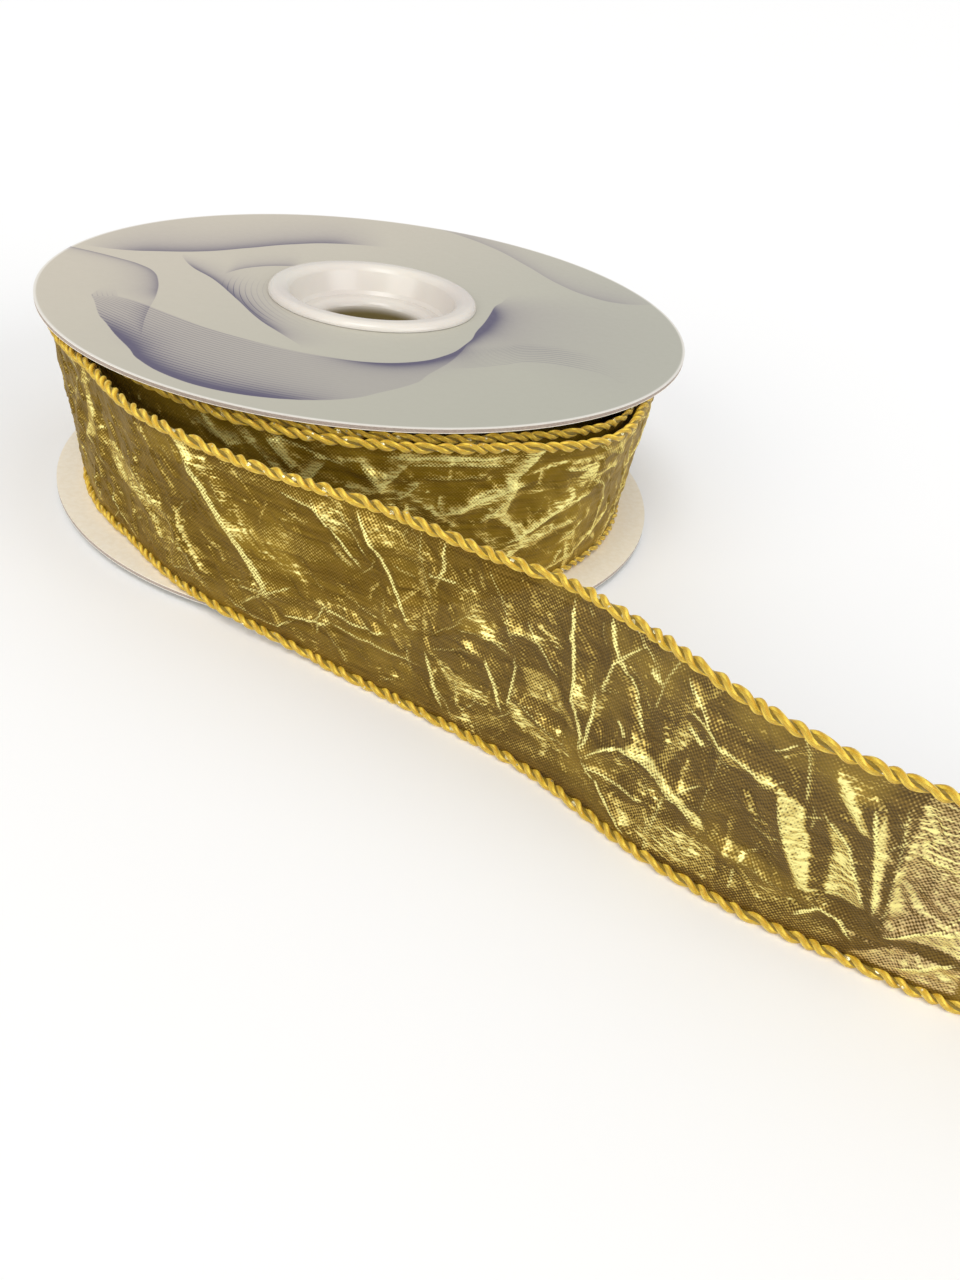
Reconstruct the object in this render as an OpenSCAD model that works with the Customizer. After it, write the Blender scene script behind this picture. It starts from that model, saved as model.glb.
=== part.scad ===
// Reel of wired gift ribbon.
// The reel stands flat on the rim of its lower hub. The origin is on that resting plane, on the reel's
// own axis, with +Z up through the hub bore. The free end of the ribbon leaves the roll at the left,
// runs round the front and stands on its lower edge beyond the flange.

/* [Flanges] */
// Diameter of each flange disc
flange_d = 136; // [134:1:150]
// Thickness of the greyboard in each flange
board_t = 0.6; // [0.5:0.05:0.9]
// Thickness of the printed facing on the outside of each flange
facing_t = 0.15; // [0.1:0.05:0.2]
// Thickness of the plain liner on the inside of each flange
liner_t = 0.1; // [0.1:0.05:0.2]
// Distance between the insides of the two flanges
flange_gap = 39.4; // [39.2:0.1:41]

/* [Hub] */
// Radius of the spindle bore through both hub halves
bore_r = 12; // [11:0.25:12.5]
// Radius of the hub collar that the flanges turn on
collar_r = 19; // [18.75:0.05:19.25]
// Outer radius of the hub rim
rim_r = 22.4; // [22:0.1:24]
// Height of the hub rim above the flange
rim_h = 1.5; // [1.2:0.1:2]
// Depth of the ledge inside the hub mouth, below the flange
ledge_depth = 4.5; // [4:0.25:5]
// Wall thickness of the hub's barrels
barrel_wall = 1.1; // [0.9:0.1:1.3]

/* [Core] */
// Wall thickness of the paperboard core tube
core_wall = 1.9; // [1.5:0.1:2.5]
// Thickness of the adhesive tape that holds the ribbon's inner end
tape_t = 0.1; // [0.05:0.05:0.15]

/* [Ribbon] */
// Width of the ribbon over its two bound edges
ribbon_w = 38; // [36:0.5:38]
// Diameter of the stitched binding along each edge
binding_d = 1.8; // [1.4:0.1:2]
// Thickness of the woven web between the bindings
web_t = 0.4; // [0.3:0.1:0.6]
// Diameter of the wire inside each binding
wire_d = 0.4; // [0.3:0.1:0.5]
// Radius of the tightly wound part of the roll
wound_r = 58.8; // [50:0.1:58.8]
// Length of bare wire that sticks out of the cut end
bare_wire = 2.5; // [1:0.5:4]

/* [Hidden] */
$fn = 96;

// Fits
axial_play = 0.1;   // each side of a flange, between the hub rim and the end of the core
turning_fit = 0.08; // radial clearance of a flange on its collar
core_fit = 0.1;     // radial clearance of the core on the collars
plug_fit = 0.05;    // radial clearance of the upper barrel inside the lower one
ribbon_clear = 0.3; // between the ribbon and the flanges or the core

// Heights
flange_t = facing_t + board_t + liner_t;
lower_flange_z = rim_h + axial_play;
inside_z = lower_flange_z + flange_t;
upper_flange_z = inside_z + flange_gap;
upper_rim_z = upper_flange_z + flange_t + axial_play;
core_z = inside_z + axial_play;
core_len = flange_gap - 2 * axial_play;
ribbon_z = inside_z + ribbon_clear;
plug_z = 14;        // where the upper barrel stops against the step in the lower one
socket_z = 30;      // top of the lower barrel
snap_z = 18;        // height of the snap bead

// Hub outline, as [radius, height above the rim's underside]
rim_curve = 1.5;    // outer rounding of the rim
mouth_curve = 2.4;  // inner rounding of the rim
land_w = 1;         // flat land on the rim's crest
shoulder_r = 2;     // rounding from the ledge into the bore
floor_t = 1.7;
floor_depth = ledge_depth + floor_t;
barrel_r = bore_r + barrel_wall;
socket_r = barrel_r + plug_fit;
snap_h = 0.35;
rib_t = 1;
rib_count = 6;
rib_h = 6;
core_r = collar_r + core_fit + core_wall;
roll_bore_r = core_r + ribbon_clear;

// Outermost, loosened turn of the ribbon
loose_from = -124;  // direction where that turn begins, behind the tail, in degrees about +Z
loose_to = 223.7;   // direction where it ends and the tail starts
loose_r = 60.1;
loose_gain = 1.4;   // how much its radius grows on the way round
loose_steps = 45;
lean_mean = 4.5;    // the turn leans outward by the mean plus or minus the swing
lean_swing = 4.5;
lean_towards = 265; // direction in which it leans most
peel_angle = 0.85;  // gap between its end and the start of the tail, in degrees

// Free end: [x, y, height of the lower edge, outward lean in degrees]
ground = 0.1;
tail_route = [
    [-44.5, -42.5, ribbon_z, 8],
    [-40, -49, ribbon_z, 9],
    [-34.5, -56, ribbon_z, 10],
    [-28.5, -62, ribbon_z, 10],
    [-21.5, -67.2, 2.4, 10],
    [-14.5, -71.5, 1.6, 9],
    [-7.5, -75.5, 0.7, 7],
    [-1, -80, ground, 4],
    [5.5, -84.5, ground, 3],
    [12, -89.2, ground, 3],
    [18.5, -94, ground, 3],
    [24.7, -98.8, ground, 2],
    [30.5, -104, ground, 0],
    [35.8, -110, ground, 0],
    [40.9, -116.2, ground, 0],
    [46.5, -122, ground, 2],
    [52.6, -127, ground, 5],
    [59, -131.6, ground, 7],
    [65.9, -135.8, ground, 8],
    [72.8, -139.8, ground, 8],
    [79.6, -143.8, ground, 8],
    [86.6, -147.4, ground, 8],
    [93.9, -150.4, ground, 8],
    [101.4, -152.6, ground, 8],
    [109.2, -153.9, ground, 7]
];
route_steps = 2;    // rings for each span of the route

// Points on a circular arc, for outlines
function arc(centre, r, from, to, steps = 6) =
    [for (i = [0:steps]) let (a = from + (to - from) * i / steps) centre + r * [cos(a), sin(a)]];

// Smooth curve through four neighbouring stations, t from 0 to 1 between the middle two
function between(a, b, c, d, t) =
    (2 * b + (c - a) * t + (2 * a - 5 * b + 4 * c - d) * t * t + (3 * b - a - 3 * c + d) * t * t * t) / 2;

function smooth(route, steps) = let (last = len(route) - 1) concat(
    [for (i = [0:last - 1], k = [0:steps - 1])
        between(route[max(i - 1, 0)], route[i], route[i + 1], route[min(i + 2, last)], k / steps)],
    [route[last]]);

// Direction of travel at station i of a route
function along(route, i) =
    let (d = route[min(i + 1, len(route) - 1)] - route[max(i - 1, 0)], l = norm([d.x, d.y])) [d.x / l, d.y / l];

// A station's lower edge point, its direction up the ribbon's width and its outward normal
function base(station) = [station.x, station.y, station.z];
function up_width(dir, lean) = [dir.y * sin(lean), -dir.x * sin(lean), cos(lean)];
function outward(dir, lean) = [dir.y * cos(lean), -dir.x * cos(lean), -sin(lean)];

// One ring of a strip from height low to height high up the width, t thick
function strip_ring(station, dir, low, high, t) =
    let (b = base(station), u = up_width(dir, station[3]), n = outward(dir, station[3]) * t / 2)
    [b + u * low - n, b + u * low + n, b + u * high + n, b + u * high - n];

// One ring of a round tube whose centre is at the given height up the width
function tube_ring(station, dir, height, d, sides) =
    let (u = up_width(dir, station[3]), n = outward(dir, station[3]), c = base(station) + u * height)
    [for (k = [0:sides - 1]) let (a = 360 * k / sides) c + (n * cos(a) + u * sin(a)) * d / 2];

loose_turn = [for (i = [0:loose_steps])
    let (t = i / loose_steps,
         r = loose_r + loose_gain * t,
         a = loose_from + (loose_to - peel_angle - loose_from) * t)
    [r * cos(a), r * sin(a), ribbon_z, lean_mean + lean_swing * cos(a - lean_towards)]];
tail = smooth(tail_route, route_steps);
tail_end = tail[len(tail) - 1];
tail_end_dir = along(tail, len(tail) - 1);
tail_and_bare_wire = concat(tail, [tail_end + [tail_end_dir.x, tail_end_dir.y, 0, 0] * bare_wire]);
low_edge = binding_d / 2;
high_edge = ribbon_w - binding_d / 2;
web_tuck = 0.2;     // how far the web runs into each binding

// Closed solid through a list of rings
module through(rings) {
    n = len(rings);
    m = len(rings[0]);
    sides = [for (i = [0:n - 2], j = [0:m - 1]) let (k = (j + 1) % m)
        each [[i * m + j, (i + 1) * m + k, i * m + k], [i * m + j, (i + 1) * m + j, (i + 1) * m + k]]];
    first_cap = [for (j = [0:m - 1]) j];
    last_cap = [for (j = [m - 1:-1:0]) (n - 1) * m + j];
    polyhedron([for (ring = rings) each ring], concat(sides, [first_cap, last_cap]), convexity = 10);
}

module strip(route) {
    through([for (i = [0:len(route) - 1])
        strip_ring(route[i], along(route, i), binding_d - web_tuck, ribbon_w - binding_d + web_tuck, web_t)]);
}

module tube(route, height, d, sides) {
    through([for (i = [0:len(route) - 1]) tube_ring(route[i], along(route, i), height, d, sides)]);
}

module ring(inner, outer, low, high) {
    translate([0, 0, low])
        difference() {
            cylinder(r = outer, h = high - low);
            translate([0, 0, -1]) cylinder(r = inner, h = high - low + 2);
        }
}

// Rim, mouth and ledge, from the rim's underside round to the bore
hub_head = concat(
    [[collar_r, 0]],
    arc([rim_r - rim_curve, 0], rim_curve, 0, 90),
    arc([rim_r - rim_curve - land_w, rim_h - mouth_curve], mouth_curve, 90, 150),
    [[collar_r - 2.6, 0.8 - ledge_depth], [collar_r - 3.2, -ledge_depth]],
    arc([bore_r + shoulder_r, -ledge_depth - shoulder_r], shoulder_r, 90, 180));
// Underside of the ledge and the outside of the collar, from the barrel outwards
hub_collar = [[collar_r - 0.8, -floor_depth], [collar_r, 0.8 - floor_depth]];

module hub_ribs(outside_r, top) {
    for (i = [0:rib_count - 1])
        rotate(i * 360 / rib_count)
            translate([outside_r - 0.3, -rib_t / 2, top - rib_h])
                cube([collar_r - 1 - outside_r + 0.3, rib_t, rib_h + 0.5]);
}

module upper_hub() {
    plug_end = plug_z - upper_rim_z;
    snap = snap_z - upper_rim_z;
    color("white")
    translate([0, 0, upper_rim_z]) {
        rotate_extrude()
            polygon(concat(hub_head,
                [[bore_r, plug_end], [barrel_r - 0.3, plug_end], [barrel_r, plug_end + 0.6],
                 [barrel_r, snap - 0.6], [barrel_r + snap_h - plug_fit, snap], [barrel_r, snap + 0.6],
                 [barrel_r, -floor_depth]], hub_collar));
        hub_ribs(barrel_r, -floor_depth);
    }
}

module lower_hub() {
    step = rim_h - plug_z;
    mouth = rim_h - socket_z;
    snap = rim_h - snap_z;
    socket_outer = socket_r + barrel_wall;
    color("white")
    translate([0, 0, rim_h])
        mirror([0, 0, 1]) {
            rotate_extrude()
                polygon(concat(hub_head,
                    [[bore_r, step], [socket_r, step],
                     [socket_r, snap + 0.65], [socket_r + snap_h, snap], [socket_r, snap - 0.65],
                     [socket_r, mouth + 0.4], [socket_r + 0.4, mouth], [socket_outer, mouth],
                     [socket_outer, -floor_depth]], hub_collar));
            hub_ribs(socket_outer, -floor_depth);
        }
}

module core_tube() {
    color("tan") ring(collar_r + core_fit, core_r, core_z, core_z + core_len);
}

module core_tape() {
    color("ivory")
    rotate(200)
        translate([0, 0, ribbon_z + 8])
            rotate_extrude(angle = 50)
                translate([core_r, 0]) square([tape_t, ribbon_w - 16]);
}

module flange_layer(low, t) {
    ring(collar_r + turning_fit, flange_d / 2, low, low + t);
}

module upper_flange_liner() {
    color("ivory") flange_layer(upper_flange_z, liner_t);
}

module upper_flange_board() {
    color("rosybrown") flange_layer(upper_flange_z + liner_t, board_t);
}

module upper_flange_facing() {
    color("gainsboro") flange_layer(upper_flange_z + liner_t + board_t, facing_t);
}

module lower_flange_facing() {
    color("gainsboro") flange_layer(lower_flange_z, facing_t);
}

module lower_flange_board() {
    color("rosybrown") flange_layer(lower_flange_z + facing_t, board_t);
}

module lower_flange_liner() {
    color("ivory") flange_layer(lower_flange_z + facing_t + board_t, liner_t);
}

module wound_web() {
    color("darkgoldenrod") ring(roll_bore_r, wound_r, ribbon_z + binding_d, ribbon_z + ribbon_w - binding_d);
}

module wound_upper_binding() {
    color("gold") ring(roll_bore_r, wound_r, ribbon_z + ribbon_w - binding_d, ribbon_z + ribbon_w);
}

module wound_lower_binding() {
    color("gold") ring(roll_bore_r, wound_r, ribbon_z, ribbon_z + binding_d);
}

module loose_turn_web() {
    color("darkgoldenrod") strip(loose_turn);
}

module loose_turn_upper_binding() {
    color("gold") tube(loose_turn, high_edge, binding_d, 8);
}

module loose_turn_lower_binding() {
    color("gold") tube(loose_turn, low_edge, binding_d, 8);
}

module loose_turn_upper_wire() {
    color("silver") tube(loose_turn, high_edge, wire_d, 6);
}

module loose_turn_lower_wire() {
    color("silver") tube(loose_turn, low_edge, wire_d, 6);
}

module tail_web() {
    color("darkgoldenrod") strip(tail);
}

module tail_upper_binding() {
    color("gold") tube(tail, high_edge, binding_d, 8);
}

module tail_lower_binding() {
    color("gold") tube(tail, low_edge, binding_d, 8);
}

module tail_upper_wire() {
    color("silver") tube(tail_and_bare_wire, high_edge, wire_d, 6);
}

module tail_lower_wire() {
    color("silver") tube(tail_and_bare_wire, low_edge, wire_d, 6);
}

upper_hub();
lower_hub();
core_tube();
core_tape();
upper_flange_board();
upper_flange_facing();
upper_flange_liner();
lower_flange_board();
lower_flange_facing();
lower_flange_liner();
wound_web();
wound_upper_binding();
wound_lower_binding();
loose_turn_web();
loose_turn_upper_binding();
loose_turn_lower_binding();
loose_turn_upper_wire();
loose_turn_lower_wire();
tail_web();
tail_upper_binding();
tail_lower_binding();
tail_upper_wire();
tail_lower_wire();
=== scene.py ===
from math import cos, pi, radians, sin

import bpy
import numpy as np
from mathutils import Euler, Matrix, Vector


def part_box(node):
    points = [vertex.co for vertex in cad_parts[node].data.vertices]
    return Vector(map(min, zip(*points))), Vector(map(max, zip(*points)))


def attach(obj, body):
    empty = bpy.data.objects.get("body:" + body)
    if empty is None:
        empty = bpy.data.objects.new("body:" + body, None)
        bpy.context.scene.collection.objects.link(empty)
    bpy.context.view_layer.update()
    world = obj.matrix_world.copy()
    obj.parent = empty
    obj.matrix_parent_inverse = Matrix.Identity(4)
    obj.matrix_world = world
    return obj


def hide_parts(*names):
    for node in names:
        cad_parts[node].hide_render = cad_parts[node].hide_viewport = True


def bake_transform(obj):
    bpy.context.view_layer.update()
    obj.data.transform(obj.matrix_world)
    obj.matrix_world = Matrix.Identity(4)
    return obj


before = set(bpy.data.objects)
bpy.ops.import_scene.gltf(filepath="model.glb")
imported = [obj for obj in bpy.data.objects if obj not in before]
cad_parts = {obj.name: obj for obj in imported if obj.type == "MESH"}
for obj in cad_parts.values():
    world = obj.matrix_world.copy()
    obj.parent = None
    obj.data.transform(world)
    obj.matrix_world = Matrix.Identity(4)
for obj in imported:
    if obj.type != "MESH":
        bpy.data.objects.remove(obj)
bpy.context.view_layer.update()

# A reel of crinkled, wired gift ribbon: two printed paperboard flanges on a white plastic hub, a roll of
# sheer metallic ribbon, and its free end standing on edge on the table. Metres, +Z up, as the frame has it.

MM = 0.001
rng = np.random.default_rng(21)

# ---------- Measures, in millimetres, worked out from the frame where the frame has them ----------


def low_mm(node):
    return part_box(node)[0] / MM


def high_mm(node):
    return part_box(node)[1] / MM


RIBBON_Z = low_mm("wound_lower_binding").z
RIBBON_W = high_mm("wound_upper_binding").z - RIBBON_Z
CORE_R = high_mm("core_tube").y
FACING_TOP = high_mm("upper_flange_facing").z
RIM_R = high_mm("upper_flange_facing").x
BORE_TOP = 37.5       # where the ledge inside the hub's mouth rounds over into the bore
ROPE_R = 1.0          # radius of the overlocked edge
ROPE_PITCH = 5.7      # length of one full twist of its two strands
WEB_TUCK = 1.2        # where the web starts, above the lower edge and below the upper one
TURN_PITCH = 1.13     # thickness of one wound turn, set by the edges

# The free end: x, y, height of the lower edge, outward lean in degrees
GROUND = 0.1
TAIL_ROUTE = [
    (-44.5, -42.5, RIBBON_Z, 8),
    (-40, -49, RIBBON_Z, 9),
    (-34.5, -56, RIBBON_Z, 10),
    (-28.5, -62, RIBBON_Z, 10),
    (-21.5, -67.2, 2.4, 10),
    (-14.5, -71.5, 1.6, 9),
    (-7.5, -75.5, 0.7, 7),
    (-1, -80, GROUND, 4),
    (5.5, -84.5, GROUND, 3),
    (12, -89.2, GROUND, 3),
    (18.5, -94, GROUND, 3),
    (24.7, -98.8, GROUND, 2),
    (30.5, -104, GROUND, 0),
    (35.8, -110, GROUND, 0),
    (40.9, -116.2, GROUND, 0),
    (46.5, -122, GROUND, 2),
    (52.6, -127, GROUND, 5),
    (59, -131.6, GROUND, 7),
    (65.9, -135.8, GROUND, 8),
    (72.8, -139.8, GROUND, 8),
    (79.6, -143.8, GROUND, 8),
    (86.6, -147.4, GROUND, 8),
    (93.9, -150.4, GROUND, 8),
    (101.4, -152.6, GROUND, 8),
    (109.2, -153.9, GROUND, 7),
]

# The loosened outer turns, counted backwards from the start of the free end
PEEL_AZIMUTH = 223.7
PEEL_R = 61.5
LOOSE_GAIN = 1.4
LOOSE_TURN = 0.966
LEAN_TOWARDS = 265
LEAN_MEAN = 4.5
INNER_LIFT = 0.7      # the tight turns sit this much higher, close under the upper flange
# Where the outermost turn has slackened in front: azimuth and added lean of its upper edge, in degrees
SLACK_EDGE = [(-200, 0), (-160, -1.5), (-137, -2.5), (-120, -1), (-108, 0.6), (-87, 2), (-69, 3.5),
              (-57, 7.3), (-50, 8), (-45, 6.6), (-40, 3.6), (-34, 1), (-28, 0), (0, 0)]
# How much of that lean each turn has: number of turns before the free end starts, and share
SLACK_SHARE = [(0.3, 0), (0.45, 1), (1, 1), (1.2, 0.3), (1.55, 0.6), (1.72, 0.85), (1.78, 0.6),
               (1.9, 0.55), (2.1, 0)]
SEAM_TURN = 0.16      # where the free end's cloth joins the outer turns' cloth
DETAIL_TURN = 2.6     # turns that are modelled with all their creases
FIRST_TURN_ROOM = 1.1  # from the core to the middle of the innermost turn

# How strongly the cloth is crushed, as a share of the folds' heights, and the seed of its small folds
FREE_RELIEF, FREE_SEED = 1.0, 40
OUTER_RELIEF, OUTER_SEED = 0.55, 60

# Distance along the ribbon from one row of a mesh to the next
FREE_STEP, FREE_EDGE_STEP = 0.36, 0.3
OUTER_STEP, OUTER_COARSE_STEP, OUTER_EDGE_STEP = 0.38, 0.9, 0.35
ROLL_EDGE_STEP = 1.1

# Loose threads along the cut
CUT_THREADS, THREAD_RINGS, THREAD_SIDES, THREAD_R = 44, 5, 4, 0.07
THREAD_SPOT = 20.3    # the place in the web's pattern, in s and in t, whose colour they take

# ---------- Camera ----------


SENSOR = 36
LENS = 28.78
CAMERA_TURN = (55.038, -7.000, -3.797)    # degrees about X, Y and Z
CAMERA_BACK = 224.65                # from the reel's axis
CAMERA_UP = 68.45                   # above the upper flange


def make_camera():
    data = bpy.data.cameras.new("camera")
    data.sensor_fit = "VERTICAL"
    data.sensor_height = SENSOR
    data.lens = LENS
    data.clip_start = 0.01
    data.clip_end = 300
    camera = bpy.data.objects.new("camera", data)
    bpy.context.scene.collection.objects.link(camera)
    turn = Euler([radians(angle) for angle in CAMERA_TURN]).to_matrix().to_4x4()
    place = Matrix.Translation((0, -CAMERA_BACK * MM, (CAMERA_UP + FACING_TOP) * MM))
    camera.matrix_world = place @ turn
    bpy.context.scene.camera = camera


# ---------- The path of the ribbon ----------


def smooth_route(route, steps):
    """Catmull-Rom curve through the stations."""
    p = np.array(route, float)
    last = len(p) - 1
    t = np.arange(steps)[:, None] / steps
    rows = []
    for i in range(last):
        a, b, c, d = p[max(i - 1, 0)], p[i], p[i + 1], p[min(i + 2, last)]
        square = (2 * a - 5 * b + 4 * c - d) * t**2
        cube = (3 * b - a - 3 * c + d) * t**3
        rows.append((2 * b + (c - a) * t + square + cube) / 2)
    return np.vstack(rows + [p[last:]])


def wound_route(turns):
    """Stations of the roll, each given as the number of turns before the free end starts."""
    k = np.asarray(turns, float)
    azimuth = np.radians(PEEL_AZIMUTH - 360 * k)
    loose = PEEL_R - LOOSE_GAIN * k / LOOSE_TURN
    tight = PEEL_R - LOOSE_GAIN - TURN_PITCH * (k - LOOSE_TURN)
    r = np.where(k < LOOSE_TURN, loose, tight)
    ease = np.interp(k, [0, 2, 2.6, 3.5, 5], [1, 1, 0.6, 0.3, 0])
    lean = LEAN_MEAN * (1 + np.cos(azimuth - radians(LEAN_TOWARDS))) * ease
    slack = np.interp(k, *zip(*SLACK_SHARE))
    wrapped = (np.degrees(azimuth) + 200) % 360 - 200
    sag = np.interp(wrapped, *zip(*SLACK_EDGE))
    lean = lean + sag * slack
    height = RIBBON_Z + np.interp(k, [0.89, 0.97], [0, INNER_LIFT])
    return np.stack([r * np.cos(azimuth), r * np.sin(azimuth), height, lean], 1)


class Path:
    """A stretch of ribbon, by length s: its lower edge, the direction up its width, its outward normal."""

    def __init__(self, stations, s_start=0.0):
        p = np.asarray(stations, float)
        step = np.linalg.norm(np.diff(p[:, :3], axis=0), axis=1)
        self.s = np.concatenate([[0], np.cumsum(step)]) + s_start
        along = np.gradient(p[:, :2], axis=0)
        along /= np.linalg.norm(along, axis=1)[:, None]
        lean = np.radians(p[:, 3])
        side = np.stack([along[:, 1], -along[:, 0]], 1)
        self.base = p[:, :3]
        self.up = np.column_stack([side * np.sin(lean)[:, None], np.cos(lean)])
        self.out = np.column_stack([side * np.cos(lean)[:, None], -np.sin(lean)])

    def at(self, s):
        """Base, up and out at the lengths s."""
        parts = (self.base, self.up, self.out)
        return [np.stack([np.interp(s, self.s, a[:, i]) for i in range(3)], -1) for a in parts]


tail_stations = smooth_route(TAIL_ROUTE, 16)
loose_stations = wound_route(np.linspace(DETAIL_TURN, 0.003, 1400))
all_stations = np.vstack([loose_stations, tail_stations])
ribbon = Path(all_stations)
peel_s = ribbon.s[len(loose_stations)]
ribbon.s -= peel_s                      # s is 0 where the free end starts
S_END = ribbon.s[-1]
S_SEAM = -SEAM_TURN * 2 * pi * PEEL_R
S_DETAIL = ribbon.s[0]
S_FINE = -460.0       # from here on the outermost turn shows, and gets a finer mesh

# ---------- Creases ----------

LINE_HALF = 0.38      # half width of a crease's painted highlight line

# The long creases that were set when the ribbon was crushed: points (s, t) in millimetres along and up the
# ribbon, height of the fold (minus for a valley), half width, and how bright its painted highlight line is
MAIN_CREASES = [
    ([(28.5, 36), (31, 31), (36, 23), (40, 17), (44.5, 9.5)], 1.1, 5.0, 1.0),
    ([(29.3, 36), (31.8, 31), (36.8, 23), (40.8, 17), (45, 9.8)], 0.1, 0.6, 0.9),
    ([(52, 35), (56, 31), (62, 24)], 0.5, 2.2, 0.9),
    ([(57, 35.4), (60, 31), (63, 27)], 0.3, 1.4, 0.7),
    ([(60, 36.5), (65, 29.6), (69, 23), (72, 18)], 0.9, 3.5, 1.0),
    ([(98.5, 36), (100, 31), (101.7, 24), (103.3, 18), (106.3, 11.3)], 1.1, 4.0, 1.1),
    ([(106.3, 11.3), (110, 8), (113.3, 5), (116.7, 2)], 0.9, 3.0, 1.1),
    ([(105.2, 36), (107, 32), (110, 28.3)], 0.7, 2.6, 1.0),
    ([(119, 35), (123, 31.6), (125, 29)], 0.5, 2.0, 0.8),
    ([(120, 31), (124, 29.6), (126, 28), (131.7, 27), (134.6, 26.3)], 0.7, 2.6, 1.0),
    ([(106.5, 11.5), (110, 15.5), (113, 17.5), (118, 17), (123, 15), (127, 12)], 0.9, 3.0, 0.9),
    ([(113, 18.2), (118, 17.9), (123, 15.9), (127.3, 12.6)], 0.1, 0.5, 0.8),
    ([(135, 26.5), (137.5, 20), (142.5, 11.5)], 1.1, 3.2, 0.8),
    ([(140.4, 34), (143.3, 30), (146.3, 25.8)], 0.8, 2.6, 0.9),
    ([(145.4, 32.5), (148.3, 24), (150.4, 16.7), (151.3, 12.5)], 1.0, 3.0, 1.0),
    ([(140, 27.5), (145, 23), (150.4, 12)], 0.9, 3.0, 0.9),
    ([(148.5, 36), (151, 24), (153, 10)], 0.9, 3.0, 0.6),
    ([(53, 13.8), (60, 13.2), (64, 13), (68, 14.2)], 0.5, 2.2, 0.8),
    ([(54, 11.3), (65, 10.4), (75, 10.8)], 0.4, 1.8, 0.7),
    ([(33, 6.3), (39, 3.8), (44, 4.6), (49, 8.8)], 0.7, 3.0, 0.7),
    ([(46, 8.5), (52, 9.5), (56, 11)], 0.4, 1.6, 0.9),
    ([(53, 11), (57, 7), (60, 3)], 0.5, 2.0, 0.6),
    ([(9.6, 24), (17.5, 20.4), (21.7, 17.5), (24.6, 13), (27.5, 8.3), (29.6, 4.2)], 0.8, 4.0, 0.7),
    ([(9, 9.5), (15, 13), (21.3, 15.8)], -0.6, 3.5, 0.5),
    ([(16, 4), (22, 6), (27, 8)], 0.4, 2.0, 0.6),
    ([(-10, 21), (-5.8, 18), (-3.8, 15.4)], 0.7, 3.0, 0.9),
    ([(-2.5, 11.3), (-0.8, 7), (5, 2.5)], 0.7, 3.0, 0.9),
    ([(72, 18), (76, 18.6), (80, 22), (84, 28)], 0.5, 2.4, 0.5),
    ([(74.6, 15), (76.7, 10), (79, 3.5)], 0.6, 2.4, 0.9),
    ([(74.6, 15), (77, 15.8), (82, 18.5), (86, 18.5)], 0.5, 2.2, 0.5),
    ([(76.7, 36), (77, 31), (76, 29)], 0.4, 2.0, 0.8),
    ([(73.8, 29), (80, 29.6)], 0.3, 1.4, 0.8),
    ([(84, 36), (87.5, 31), (91, 22)], 0.7, 3.0, 0.6),
    ([(80, 21.5), (86, 22.5), (91, 21)], 0.4, 1.8, 0.7),
    ([(85.8, 19), (88, 15), (90.4, 9.6)], 0.6, 2.4, 1.0),
    ([(91.3, 22), (91.2, 11)], 0.6, 2.2, 0.8),
    ([(91.7, 29), (95, 25), (98.8, 21)], 0.5, 2.0, 0.7),
    ([(91.3, 14), (98.3, 11.3), (105, 9)], 0.6, 2.4, 0.6),
    ([(105.7, 24), (106.2, 19), (106, 12)], 0.4, 1.6, 0.9),
    ([(110, 20.8), (112.5, 19)], 0.3, 1.4, 1.0),
    ([(113.3, 31.7), (115.8, 30.8)], 0.2, 1.0, 1.1),
    ([(121, 27), (124, 25.4)], 0.2, 1.0, 1.1),
    ([(127, 29), (126.7, 22.5), (126.3, 14)], 0.6, 2.4, 0.5),
    ([(106.3, 10.8), (112, 10.4), (118.3, 10.3)], 0.5, 2.0, 0.8),
    ([(135.4, 35), (134, 33), (132.5, 31.7)], 0.3, 1.4, 0.7),
    ([(127.5, 12), (134, 10.5), (142, 9.5)], 0.6, 2.2, 0.5),
    ([(133, 9), (133.3, 4)], 0.3, 1.2, 0.7),
    ([(142, 5), (145, 9.2), (148, 8.8), (150.8, 4.6)], 0.6, 2.2, 1.0),
    ([(152.5, 26), (156.7, 26)], 0.3, 1.2, 1.1),
    ([(153.3, 9), (156.7, 12.5), (161.3, 15.8)], 0.8, 2.8, 1.0),
    ([(156.7, 3.3), (160, 6.7), (163, 10)], 0.6, 2.2, 1.0),
    ([(164, 34), (168, 22), (166, 10)], 1.0, 3.4, 0.9),
    ([(172, 35), (178, 20), (184, 6)], 1.0, 3.6, 1.0),
    ([(178, 20), (186, 28), (190, 36)], 0.8, 3.0, 0.8),
]
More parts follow.
